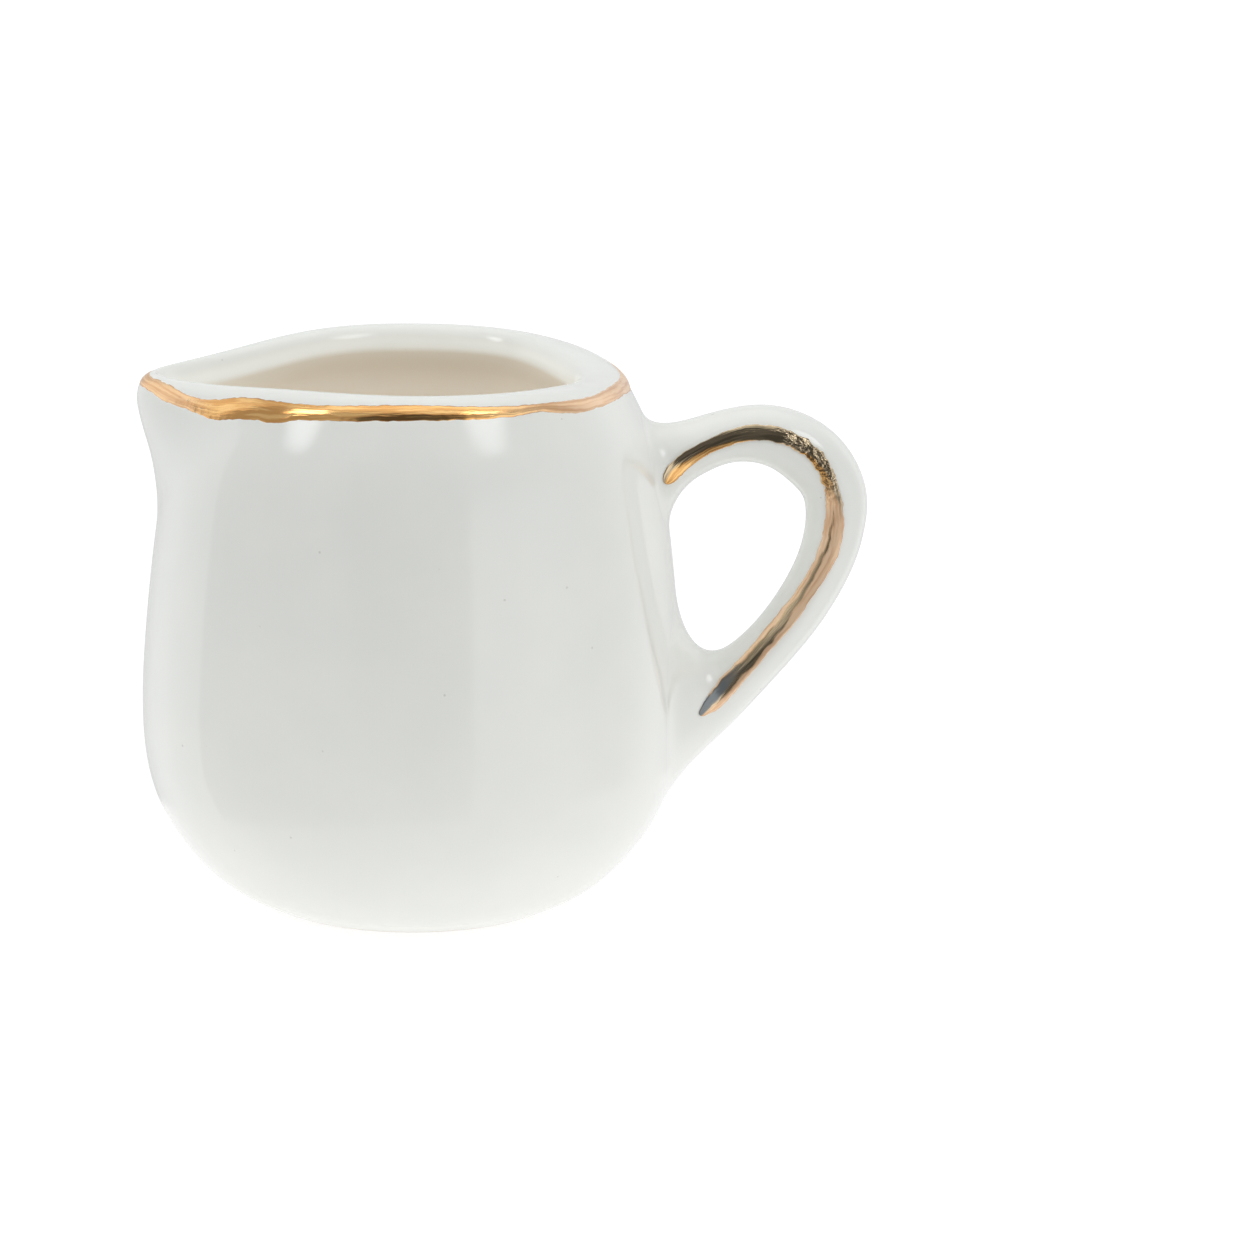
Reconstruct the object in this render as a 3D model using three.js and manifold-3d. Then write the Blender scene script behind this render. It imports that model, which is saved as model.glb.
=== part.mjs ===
// A small porcelain cream jug: a slip-cast, bellied body with a pulled pouring lip, a cast loop
// handle stuck on with two collars of slip, and bright gilding on the rim and the handle's sides.
// Millimetres, +Z up. The jug stands on z = 0, the lip points along -X and the handle along +X.
// The origin lies on the standing surface, at the middle of the overall length.
import * as THREE from "three";
import { mergeVertices } from "three/addons/utils/BufferGeometryUtils.js";
import Module from "manifold-3d";

const wasm = await Module();
wasm.setup();

// ---- Driving dimensions, measured from the body's own axis ----

// Body: a round profile of [radius, height] pairs, from the foot up to the shoulder.
const bellyOutline = [
  [17.3, 0.5],
  [20.0, 2.05],
  [23.85, 5.8],
  [27.45, 11.7],
  [28.7, 19.8],
  [28.4, 27.0],
  [27.7, 34.5],
  [26.95, 41.5],
  [26.35, 46.5],
  [24.9, 51.5],
  [23.6, 54.2],
  [22.75, 56.0],
];
const bodyHeight = 58.0;
// Lip: from the shoulder over the crest and down to the top of the inside wall.
const lipOutline = [
  [21.95, 57.2],
  [21.1, 57.8],
  [20.2, bodyHeight],
  [19.3, 57.8],
  [18.7, 57.2],
  [18.55, 56.4],
  [18.6, 55.4],
  [19.3, 54.3],
  [20.5, 53.1],
];
const wallThickness = 3.2;
const insideTop = 51.5; // below this height the inside wall is parallel to the outside
const floorTop = 4.2; // the inside floor's height
const floorRadius = 15.5; // the inside floor is flat out to here

// Foot: a flat unglazed ring around a shallow recess.
const footOuterRadius = 16.2;
const footInnerRadius = 13.0;
const footEdge = 0.3; // the ring's rounded inner edge
const recessHeight = 0.8;

// Pouring lip: the round wall is drawn out to a point, more and more towards the rim.
const lipStart = 42.0; // the height at which the wall starts to leave the round
const lipFull = 56.8;
const lipReach = 7.9; // how far the point stands out from the round wall at lipFull
const lipSwell = 1.4; // the power with which the reach grows
const lipTipSoftness = 0.11; // radians, how blunt the point is
const lipThinning = 0.9; // the wall is this much thinner at the point
const wallMiddleRadius = 20.2; // the middle of the wall's thickness at the crest
const wallMiddleSlope = 0.3; // and how much further out it is per millimetre further down
const lipDip = 1.7; // the rim is this much lower at the lip
const handleDip = 1.2; // and this much at the handle
const dipStart = 36; // the height at which the dip starts

// Handle: oval sections from the upper root, round the loop, to the lower root. Each row holds
// the section's outermost point [x, z], its innermost point [x, z] and its half width along Y.
const handleSections = [
  [24.3, 52.4, 25.0, 40.4, 6.3],
  [26.2, 51.7, 27.8, 41.8, 5.2],
  [28.0, 51.7, 29.0, 44.6, 4.3],
  [30.0, 52.2, 30.6, 46.2, 3.8],
  [32.4, 52.9, 32.7, 47.2, 3.6],
  [35.7, 53.5, 35.1, 47.4, 3.55],
  [39.4, 53.2, 37.5, 46.8, 3.55],
  [43.2, 51.5, 39.5, 45.3, 3.55],
  [46.2, 48.8, 40.9, 43.8, 3.55],
  [47.8, 44.4, 41.3, 42.2, 3.55],
  [47.7, 40.5, 41.2, 40.3, 3.55],
  [46.5, 36.5, 40.4, 37.4, 3.55],
  [43.8, 31.0, 38.4, 33.4, 3.55],
  [40.5, 26.5, 35.8, 29.9, 3.55],
  [37.1, 22.5, 33.3, 27.6, 3.6],
  [34.9, 20.0, 32.0, 27.0, 3.8],
  [32.0, 17.0, 30.6, 27.3, 4.7],
  [29.9, 14.6, 29.6, 28.4, 6.3],
  [28.0, 11.8, 28.6, 30.9, 8.3],
  [25.9, 9.6, 26.9, 33.0, 9.1],
];
const upperJointEnd = 3; // the section at which the upper slip collar meets the handle
const lowerJointStart = 15; // the section at which the lower one does
const jointGap = 0.1; // clear space between a collar and the body

// Gilding: a fired film, given a thickness that a solid can have.
const filmGap = 0.05;
const filmThickness = 0.15;
const rimBandLow = 55.5; // heights on the round wall between which the rim band lies
const rimBandHigh = 57.4;
// Strokes on the handle's sides: [place along handleSections, offset outwards of the middle].
const strokePath = [
  [1.4, -1.1],
  [3, -0.4],
  [5, 0.1],
  [9, 0.1],
  [12, 0.4],
  [14, 0.6],
  [15, 1.0],
  [16.2, 1.9],
];
const strokeWidth = 1.6;
const strokeTaper = 0.08; // share of a stroke over which each end narrows

// Facets
const aroundBody = 64;
const crowding = 0.35; // draws the body's facets together towards the pouring lip
const upBelly = 16;
const upInside = 12;
const aroundHandle = 20;
const perSection = 2; // facets along the handle from one section to the next

// ---- Materials ----

const porcelain = new THREE.MeshStandardMaterial({
  color: 0xf1f1ec,
  roughness: 0.08,
  metalness: 0,
});
const slip = new THREE.MeshStandardMaterial({
  color: 0xefefe9,
  roughness: 0.1,
  metalness: 0,
});
const gold = new THREE.MeshStandardMaterial({
  color: 0xd9a45a,
  roughness: 0.18,
  metalness: 1,
});

// ---- Geometry helpers ----

const toPoint = ([x, y]) => new THREE.Vector2(x, y);

// Welds the vertices of a closed geometry that meet, and moves each vertex.
function reshape(geometry, move) {
  const bare = geometry.clone();
  bare.deleteAttribute("normal");
  bare.deleteAttribute("uv");
  const shape = mergeVertices(bare, 1e-6);
  const place = shape.getAttribute("position");
  const point = new THREE.Vector3();
  for (let i = 0; i < place.count; i++) {
    move(point.fromBufferAttribute(place, i));
    place.setXYZ(i, point.x, point.y, point.z);
  }
  shape.computeVertexNormals();
  return shape;
}

function toSolid(geometry) {
  return new wasm.Manifold(
    new wasm.Mesh({
      numProp: 3,
      vertProperties: geometry.getAttribute("position").array,
      triVerts: new Uint32Array(geometry.index.array),
    }),
  );
}

function fromSolid(solid) {
  const mesh = solid.getMesh();
  const geometry = new THREE.BufferGeometry();
  geometry.setAttribute("position", new THREE.BufferAttribute(mesh.vertProperties, 3));
  geometry.setIndex(new THREE.BufferAttribute(mesh.triVerts, 1));
  geometry.computeVertexNormals();
  return geometry;
}

function named(name, geometry, material) {
  const mesh = new THREE.Mesh(geometry, material);
  mesh.name = name;
  return mesh;
}

// ---- Body ----

// The height that a point comes to once the rim dips at the lip and the handle. angle is
// measured from the lip's direction.
function dippedHeight(z, angle) {
  const share = THREE.MathUtils.smoothstep(z, dipStart, lipFull);
  const dip = Math.cos(angle) > 0 ? lipDip : handleDip;
  return z - dip * share * Math.abs(Math.cos(angle)) ** 3.5;
}

// The radius of the drawn-out wall: in plan, two straight flanks run from the round wall to
// the point.
function drawnRadius(radius, z, angle, extraReach) {
  const share = THREE.MathUtils.clamp((z - lipStart) / (lipFull - lipStart), 0, 1.1);
  const reach = (lipReach + extraReach) * share ** lipSwell;
  const flank = Math.acos(radius / (radius + reach));
  const softness = lipTipSoftness * share;
  const off = Math.hypot(angle, softness) - 0.35 * softness;
  return radius / Math.cos(Math.max(0, flank - off));
}

// Turns a lathed jug, whose axis is Y, upright, and draws out its pouring lip.
function drawOutLip(point) {
  const radius = Math.hypot(point.x, point.z);
  const z = point.y;
  const even = Math.atan2(point.z, point.x);
  const angle = even - crowding * Math.sin(even);
  const wallMiddle = wallMiddleRadius + wallMiddleSlope * (bodyHeight - z);
  const inside = THREE.MathUtils.smoothstep(wallMiddle - radius, -0.5, 0.5);
  const onAxis = radius < 1e-6;
  const drawn = onAxis ? 0 : drawnRadius(radius, z, Math.abs(angle), lipThinning * inside);
  point.set(-drawn * Math.cos(angle), drawn * Math.sin(angle), dippedHeight(z, angle));
}

// A run of points parallel to an outline, at a distance to its right.
function parallel(points, distance) {
  return points.map((point, i) => {
    const before = points[Math.max(0, i - 1)];
    const after = points[Math.min(points.length - 1, i + 1)];
    const along = after.clone().sub(before).normalize();
    return new THREE.Vector2(point.x + along.y * distance, point.y - along.x * distance);
  });
}

const belly = new THREE.SplineCurve(bellyOutline.map(toPoint));
const lip = lipOutline.map(toPoint);

function footPoints() {
  const recess = [
    [0, recessHeight],
    [footInnerRadius - footEdge, recessHeight],
    [footInnerRadius, recessHeight - footEdge],
    [footInnerRadius + footEdge / 2, 0],
    [footOuterRadius, 0],
  ];
  return recess.map(toPoint);
}

function insidePoints() {
  const inner = parallel(belly.getSpacedPoints(4 * upBelly), -wallThickness);
  const wall = inner.filter((p) => p.y < insideTop && p.y > floorTop + 1 && p.x > floorRadius + 2);
  const down = new THREE.SplineCurve([lip.at(-1), ...wall.reverse()]).getSpacedPoints(upInside);
  return [...down.slice(1), new THREE.Vector2(floorRadius, floorTop), new THREE.Vector2(0, floorTop)];
}

function makeBody() {
  const outside = [...footPoints(), ...belly.getSpacedPoints(upBelly)];
  const outline = [...outside, ...lip, ...insidePoints()];
  return reshape(new THREE.LatheGeometry(outline, aroundBody), drawOutLip);
}

// The body's outside as one full solid, grown by a distance, for cutting what stands on it.
function makeOutside(grown) {
  const wall = parallel(belly.getSpacedPoints(upBelly), grown);
  const outline = [new THREE.Vector2(0, 0), ...wall, new THREE.Vector2(0, wall.at(-1).y)];
  return reshape(new THREE.LatheGeometry(outline, aroundBody), drawOutLip);
}

// A thin band around the rim's outer edge.
function makeRimBand() {
  const edge = new THREE.SplineCurve([...bellyOutline.slice(-2).map(toPoint), ...lip.slice(0, 3)]);
  const path = edge.getSpacedPoints(12).filter((p) => p.y > rimBandLow && p.y < rimBandHigh);
  const under = parallel(path, filmGap);
  const over = parallel(path, filmGap + filmThickness);
  const ring = [...over, ...under.reverse(), over[0]];
  return reshape(new THREE.LatheGeometry(ring, aroundBody), drawOutLip);
}

// ---- Handle ----

const last = handleSections.length - 1;
const throughPoints = (points) => new THREE.CatmullRomCurve3(points, false, "centripetal");
const outerEdge = throughPoints(handleSections.map(([x, z, , , side]) => new THREE.Vector3(x, side, z)));
const innerEdge = throughPoints(handleSections.map(([, , x, z, side]) => new THREE.Vector3(x, side, z)));

// The oval at a place along the handle: its centre, its half size outwards as a vector, and its
// half width along Y.
function ovalAt(place) {
  const outer = outerEdge.getPoint(place / last);
  const inner = innerEdge.getPoint(place / last);
  const side = outer.y;
  outer.setY(0);
  inner.setY(0);
  const centre = outer.clone().add(inner).divideScalar(2);
  return { centre, half: outer.sub(centre), side };
}

// Bends a unit cylinder, whose axis is Y, along the handle from one section to another.
function alongHandle(from, to) {
  const tube = new THREE.CylinderGeometry(1, 1, 1, aroundHandle, perSection * (to - from));
  return reshape(tube, (point) => {
    const oval = ovalAt(THREE.MathUtils.lerp(from, to, point.y + 0.5));
    const outwards = point.x;
    const across = point.z;
    point.copy(oval.centre).addScaledVector(oval.half, outwards);
    point.y += oval.side * across;
  });
}

// A collar of slip between the handle's end and the body.
function makeCollar(from, to) {
  const collar = toSolid(alongHandle(from, to));
  return fromSolid(collar.subtract(toSolid(makeOutside(jointGap))));
}

// A gilded stroke on one side of the handle: a flat bar wrapped on the handle's surface.
// side is 1 or -1, for the +Y or the -Y side.
function makeStroke(side) {
  const path = new THREE.SplineCurve(strokePath.map(toPoint));
  const bar = new THREE.BoxGeometry(1, 1, 1, 3, 36, 1);
  return reshape(bar, (point) => {
    const along = point.y + 0.5;
    const at = path.getPoint(along);
    const oval = ovalAt(at.x);
    const halfSize = oval.half.length();
    const end = THREE.MathUtils.clamp(Math.min(along, 1 - along) / strokeTaper, 0, 1);
    const width = strokeWidth * (0.3 + 0.7 * Math.sqrt(end));
    const height = filmGap + filmThickness * (point.z + 0.5);
    const turn = Math.asin(at.y / halfSize) + (side * point.x * width) / halfSize;
    const across = side * (oval.side + height) * Math.cos(turn);
    const outwards = ((halfSize + height) * Math.sin(turn)) / halfSize;
    point.copy(oval.centre).addScaledVector(oval.half, outwards);
    point.y += across;
  });
}

// ---- Assembly ----

const jug = new THREE.Group();
jug.add(
  named("jug_body", makeBody(), porcelain),
  named("handle", alongHandle(upperJointEnd, lowerJointStart), porcelain),
  named("upper_slip_joint", makeCollar(0, upperJointEnd), slip),
  named("lower_slip_joint", makeCollar(lowerJointStart, last), slip),
  named("rim_gilding", makeRimBand(), gold),
  named("handle_gilding_front", makeStroke(-1), gold),
  named("handle_gilding_back", makeStroke(1), gold),
);

// The jug is moved along X so that the origin is at the middle of its overall length.
const box = new THREE.Box3().setFromObject(jug);
jug.position.x = -(box.min.x + box.max.x) / 2;

const assembly = new THREE.Group();
assembly.add(jug);

export default assembly;
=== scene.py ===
"""A small gilded porcelain cream jug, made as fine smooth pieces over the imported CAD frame.

The frame is in metres: the jug stands on z = 0, its pouring lip points along -X and its handle
along +X. The outlines below are in millimetres from the body's own axis, as in the CAD source.
"""

import math

import bpy
import numpy as np
from mathutils import Matrix, Vector
from mathutils.bvhtree import BVHTree


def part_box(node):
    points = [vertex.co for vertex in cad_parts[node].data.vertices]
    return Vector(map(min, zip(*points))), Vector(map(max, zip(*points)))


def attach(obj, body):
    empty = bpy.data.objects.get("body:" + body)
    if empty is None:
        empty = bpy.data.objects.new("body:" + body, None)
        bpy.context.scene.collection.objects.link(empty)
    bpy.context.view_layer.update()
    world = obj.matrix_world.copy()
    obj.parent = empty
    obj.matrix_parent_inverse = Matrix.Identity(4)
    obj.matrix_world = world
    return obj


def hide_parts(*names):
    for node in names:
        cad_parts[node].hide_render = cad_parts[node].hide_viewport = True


MM = 0.001

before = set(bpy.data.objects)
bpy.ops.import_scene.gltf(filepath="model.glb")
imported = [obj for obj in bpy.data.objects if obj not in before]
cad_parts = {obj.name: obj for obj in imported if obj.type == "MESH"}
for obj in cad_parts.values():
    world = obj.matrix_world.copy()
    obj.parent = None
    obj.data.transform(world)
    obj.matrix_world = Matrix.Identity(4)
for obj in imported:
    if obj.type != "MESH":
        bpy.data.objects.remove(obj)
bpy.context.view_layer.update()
body_low, body_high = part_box("jug_body")
AXIS_X = body_high.x - (body_high.y - body_low.y) / 2  # where the body's own axis stands

# ---- The body's outline, in millimetres: [radius, height] from the foot over the crest ----

OUTSIDE = [
    [17.0, 0.45],
    [19.75, 1.95],
    [23.85, 5.8],
    [27.3, 11.7],
    [28.6, 19.8],
    [28.4, 27.0],
    [27.75, 34.5],
    [26.95, 41.5],
    [26.25, 46.5],
    [24.95, 51.5],
    [23.75, 54.2],
    [22.85, 56.0],
    [22.0, 57.25],
    [21.1, 57.85],
    [20.2, 58.0],
    [19.45, 57.8],
    [18.95, 57.3],
    [18.6, 56.5],
    [18.45, 55.9],
    [18.48, 55.2],
    [18.8, 54.2],
    [19.5, 52.9],
]
CREST_HEIGHT = 58.0
CREST_RADIUS = 20.2
SHOULDER_PLACE = 40.0  # how far along the outline the rings start to lie closer together
WALL = 3.2
PARALLEL = [7.7, 46.0]  # heights between which the inside wall is parallel to the outside
FLOOR_CORNER = [[19.2, 5.6], [17.0, 4.55], [14.5, 4.2]]
FLOOR_HEIGHT = 4.2
FLOOR_RADII = [12.0, 9.0, 6.0, 3.0, 0.0]

# The underside, from the middle out: the recess, its rounded edge, the foot ring's flat and the
# glaze's edge.
RECESS_HEIGHT = 0.8
RECESS_RADII = [0.0, 4.0, 8.0, 11.5]
RECESS_EDGE = [[12.2, 0.78], [12.55, 0.68], [12.75, 0.45], [12.85, 0.2]]
FOOT_RING = [[13.0, 0.05], [13.2, 0.0], [14.6, 0.0], [15.9, 0.0], [16.1, 0.05], [16.25, 0.16]]
GLAZE_EDGE = [[16.45, 0.22], [16.7, 0.3]]

# How many rings of points the body has, and how many points a ring has.
BELLY_RINGS = 50
RIM_RINGS = 96
INSIDE_RINGS = 50
AROUND = 256
CROWDING = 0.35  # how much closer together the points lie near the lip

# The pouring lip: [height, how far the wall is drawn out], and how the rim dips.
LIP_REACH = [
    [38.0, 0.0],
    [40.5, 0.04],
    [43.0, 0.28],
    [46.0, 0.95],
    [49.0, 2.05],
    [51.0, 3.15],
    [53.2, 4.6],
    [55.4, 5.95],
    [57.2, 6.5],
    [58.0, 6.6],
]
LIP_THINNING = 0.9  # how much more the inside is drawn out
LIP_BLUNTNESS = 0.13  # radians
FLANK_SOFTNESS = 0.22  # radians over which the flanks leave the round wall
MIDDLE_SLANT = 0.3  # how much the wall's middle line moves out for each millimetre down
MIDDLE_HALF = 1.0  # half the width over which outside turns into inside
LIP_DIP = 1.7
HANDLE_DIP = 1.2
HANDLE_SIDE_THICK = 1.7  # how much further in the rim reaches on the handle's side
HANDLE_SIDE_SPREAD = [26, 66]  # degrees from the handle over which it becomes as thin as elsewhere
DIP_START = 36.0
DIP_END = 56.8
DIP_SHARPNESS = 3.5

# Heights over which the inside's painted light and shade start, and the painted light in the thick rim
# comes and goes.
PAINTED_INSIDE_START = [55.2, 55.7]
RIM_PAINTED_LIGHT_RISE = [55.2, 55.8]
RIM_PAINTED_LIGHT_FALL = [56.2, 57.8]

# ---- The handle's sections ----
# Each row: outermost point [x, z], innermost point [x, z], half width along Y.

HANDLE = [
    [30.0, 52.2, 30.6, 46.2, 3.75],
    [32.4, 52.9, 32.7, 47.2, 3.6],
    [35.7, 53.5, 35.1, 47.55, 3.55],
    [39.4, 53.2, 37.6, 46.95, 3.55],
    [43.2, 51.5, 39.65, 45.5, 3.55],
    [46.2, 48.4, 41.05, 43.95, 3.55],
    [47.8, 44.4, 41.45, 42.2, 3.55],
    [47.7, 40.5, 41.35, 40.2, 3.55],
    [46.5, 36.2, 40.55, 37.1, 3.55],
    [43.8, 31.0, 38.6, 33.25, 3.55],
    [40.5, 26.5, 36.0, 29.7, 3.55],
    [37.1, 22.5, 33.5, 27.4, 3.65],
    [34.9, 20.0, 32.1, 26.85, 3.8],
]
HANDLE_ROWS = 145
AROUND_HANDLE = 96

# Each slip joint's outline on the body: its middle height, half height and half width, how
# strongly it leaves the handle and how strongly it runs out on the body. up is which end of the
# outline the handle's outermost line meets.
UPPER_ROOT = {"z": 46.3, "tall": 6.3, "wide": 6.2, "leave": 1.0, "run": 1.1, "up": 1}
LOWER_ROOT = {"z": 21.8, "tall": 11.8, "wide": 9.2, "leave": 1.0, "run": 1.15, "up": -1}
JOINT_ROWS = 28
FEATHER = [0.25, 0.03]  # how far a joint's edge runs on over the wall, and how far it sinks in
BURIED = [0.1, 0.6]  # the same for its closed end, inside the wall


# ---- Gilding ----

# The rim band's upper and lower edges: [degrees round from the lip on the near side, height].
BAND_TOP = [
    [0, 57.85],
    [7, 57.75],
    [13, 57.55],
    [19, 57.05],
    [25, 56.75],
    [31, 56.8],
    [38, 57.15],
    [48, 57.2],
    [63, 57.05],
    [80, 57.3],
    [94, 57.42],
    [106, 57.25],
    [118, 57.1],
    [135, 57.15],
    [148, 57.25],
    [157, 57.5],
    [170, 57.65],
    [180, 57.55],
]
BAND_BOTTOM = [
    [0, 56.75],
    [7, 56.55],
    [14, 55.85],
    [24, 55.3],
    [31, 54.75],
    [41, 54.95],
    [49, 55.08],
    [54, 54.98],
    [60, 55.35],
    [72, 55.65],
    [84, 55.86],
    [105, 55.97],
    [121, 56.15],
    [128, 56.3],
    [134, 56.0],
    [141, 55.88],
    [148, 56.05],
    [158, 56.3],
    [168, 56.45],
    [180, 56.1],
]
# The band's far half, painted by the same hand but not the same strokes.
FAR_TOP = [
    [0, 57.85],
    [12, 57.6],
    [24, 56.85],
    [40, 57.1],
    [70, 57.25],
    [110, 57.2],
    [150, 57.4],
    [180, 57.55],
]
FAR_BOTTOM = [
    [0, 56.75],
    [12, 55.9],
    [26, 55.1],
    [42, 55.3],
    [70, 55.6],
    [105, 56.0],
    [140, 55.8],
    [180, 56.1],
]
BAND_COLUMNS = 1080
BAND_ROWS = 17
BAND_RADIUS = 23  # about: it turns angles into lengths
BAND_LIFT = 0.035  # how far the film stands over the glaze
BAND_SINK = 0.015  # how far its edges lie in the glaze
BAND_DEPTH = 0.12
BAND_EDGE = 0.13  # share of its width over which it rises to its full thickness
BAND_BULGE = 0.15  # how far the rim's bead swells under the band
LIP_FLAT = 0.7  # how much less it swells at the lip
# Degrees from the lip, on either side of it.
FLAT_END = [25, 50]
LIP_THIN_END = [18, 34]
LIP_THIN = 0.5  # how thin the gold is there
# Degrees from the lip, going all the way round from the near side, where the gold is thin.
THIN_START = [105, 150]
THIN_END = [195, 250]
# Degrees from the lip on the near side, where the gold pooled.
POOL_START = [2, 8]
POOL_END = [24, 34]

# A stroke's outer and inner edges, seen from the side: [outer x, outer z, inner x, inner z].
STROKE = [
    [26.0, 46.3, 27.0, 45.6],
    [27.1, 48.1, 28.4, 47.0],
    [29.6, 49.8, 30.5, 48.7],
    [32.8, 51.3, 33.4, 50.0],
    [35.5, 52.0, 35.8, 50.5],
    [38.3, 51.8, 38.2, 50.3],
    [40.8, 50.8, 40.2, 49.5],
    [42.8, 49.3, 41.7, 48.4],
    [44.0, 47.5, 42.8, 46.7],
    [44.8, 45.3, 43.4, 44.9],
    [45.3, 42.6, 43.5, 42.7],
    [45.2, 40.0, 43.2, 40.3],
    [44.3, 37.2, 42.4, 37.6],
    [42.3, 33.9, 40.7, 34.4],
    [40.4, 30.9, 38.7, 31.6],
    [38.4, 28.5, 37.0, 29.4],
    [36.3, 25.9, 34.9, 26.9],
    [34.3, 23.5, 32.8, 24.8],
    [32.7, 21.7, 31.3, 23.0],
    [31.2, 20.6, 29.9, 21.5],
]
RIB = 0.42  # how far the moulded rib under a stroke stands out
RIB_CREST = 0.12  # share of the half width over which the rib's crest is rounded
RIB_FOOT = 0.03  # how far a stroke's edges lie in the glaze
STROKE_DEPTH = 0.15
STROKE_ROWS = 520
STROKE_COLUMNS = 17
STROKE_PITCH = 3.4  # millimetres from one row of STROKE to the next, about
START_LENGTH = 0.45  # rows of STROKE over which its upper end narrows
END_LENGTH = 1.6  # and its lower end
END_WIDTH = 0.08  # share of the width that is left at the lower end
# Rows of STROKE over which its wrinkled stretch starts and ends, and others likewise.
WORN_START = [4.5, 5.5]
WORN_END = [9.0, 10.0]
DARK_END = [9.2, 10.4]
CORE_START = [9.0, 10.0]
SMOKY_START = [15.8, 17.2]
THIN_GOLD_START = [8.0, 10.0]
# Places across a stroke, from -1 at its inner edge to 1 at its outer: [row of STROKE, place].
# Beyond the first the gold is dark; the others are the middle and half width of a dark core.
DARK_EDGE = [[0, 0.5], [1.5, 0.0], [3, -0.5], [4.2, -1.2], [6, -0.9], [8, 0.0], [10, 0.6]]
CORE_MIDDLE = [[9.5, -0.1], [12, -0.4], [15, 0.0], [17, -0.15], [19, -0.45]]
CORE_HALF = [[9.5, 0.0], [11, 0.1], [13, 0.22], [15, 0.5], [17, 0.62], [19, 0.7]]
DARK_SOFTNESS = 0.12
CORE_SOFTNESS = 0.1
SMOKY_ACROSS = [-0.1, 0.35]


# ---- Curves ----


class Spline:
    """A cubic curve through points, with continuous curvature. at() takes the knot values."""

    def __init__(self, points, knots=None):
        self.points = np.array(points, float)
        if knots is None:
            steps = np.linalg.norm(np.diff(self.points, axis=0), axis=1)
            knots = np.concatenate([[0.0], np.cumsum(steps)])
        self.knots = np.array(knots, float)
        count = len(self.points)
        gap = np.diff(self.knots)
        slope = np.diff(self.points, axis=0) / gap[:, None]
        matrix = np.eye(count)
        right = np.zeros_like(self.points)
        for i in range(1, count - 1):
            matrix[i, i - 1 : i + 2] = gap[i - 1], 2 * (gap[i - 1] + gap[i]), gap[i]
            right[i] = 6 * (slope[i] - slope[i - 1])
        self.bend = np.linalg.solve(matrix, right)

    def at(self, values):
        values = np.clip(np.asarray(values, float), self.knots[0], self.knots[-1])
        i = np.clip(np.searchsorted(self.knots, values) - 1, 0, len(self.knots) - 2)
        gap = (self.knots[i + 1] - self.knots[i])[..., None]
        b = ((values - self.knots[i])[..., None]) / gap
        a = 1 - b
        return (
            a * self.points[i]
            + b * self.points[i + 1]
            + ((a**3 - a) * self.bend[i] + (b**3 - b) * self.bend[i + 1]) * gap**2 / 6
        )

    def even(self, count):
        return self.at(np.linspace(self.knots[0], self.knots[-1], count))


def smoothstep(value, low, high):
    """0 below low and 1 above high, with a soft change between."""
    t = np.clip((value - low) / (high - low), 0, 1)
    return t * t * (3 - 2 * t)


def falling(value, low, high):
    """1 below low and 0 above high, with a soft change between."""
    return 1 - smoothstep(value, low, high)


def follow(table, place):
    """The value at a place, from rows of [place, value]."""
    places, values = zip(*table)
    return np.interp(place, places, values)


def parallel(points, distance):
    """The points moved sideways, to the left of the way they run."""
    along = np.gradient(points, axis=0)
    along /= np.linalg.norm(along, axis=1)[:, None]
    return points + distance * np.stack([-along[:, 1], along[:, 0]], axis=1)


# ---- The body as a surface ----

lip_reach = Spline([[r] for _, r in LIP_REACH], [z for z, _ in LIP_REACH])


def drawn_out(radius, height, angle):
    """The place of a point of the round jug, once the lip is drawn out and the rim dips.

    angle is measured from the handle, so the lip is at pi. Returns x, y and z in millimetres."""
    from_lip = np.pi - np.abs(angle)
    share = smoothstep(height, LIP_REACH[0][0], CREST_HEIGHT)
    middle = CREST_RADIUS + MIDDLE_SLANT * (CREST_HEIGHT - height)
    inside = smoothstep(middle - radius, -MIDDLE_HALF, MIDDLE_HALF)
    reach = lip_reach.at(height)[..., 0]
    reach = np.where(height < LIP_REACH[0][0], 0, reach)
    reach = reach * (1 + LIP_THINNING * inside / LIP_REACH[-1][1])
    safe = np.maximum(radius, 1e-6)
    flank = np.arccos(safe / (safe + reach))
    blunt = LIP_BLUNTNESS * share + 1e-9
    left = flank - (np.hypot(from_lip, blunt) - blunt)
    soft = FLANK_SOFTNESS * share + 1e-9
    left = (left + np.sqrt(left * left + soft * soft)) / 2
    left = left * np.where(flank > 0, flank / np.maximum((flank + np.hypot(flank, soft)) / 2, 1e-9), 0)
    near, far = (math.cos(math.radians(limit)) for limit in HANDLE_SIDE_SPREAD)
    thick = HANDLE_SIDE_THICK * smoothstep(np.cos(angle), far, near)
    thick = thick * inside * smoothstep(height, PARALLEL[1], OUTSIDE[-1][1])
    wall = radius / np.cos(left) - thick
    dip = np.where(from_lip < np.pi / 2, LIP_DIP, HANDLE_DIP)
    sink = dip * smoothstep(height, DIP_START, DIP_END) * np.abs(np.cos(angle)) ** DIP_SHARPNESS
    return np.stack([wall * np.cos(angle), wall * np.sin(angle), height - sink], axis=-1)


outside = Spline(OUTSIDE)


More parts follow.
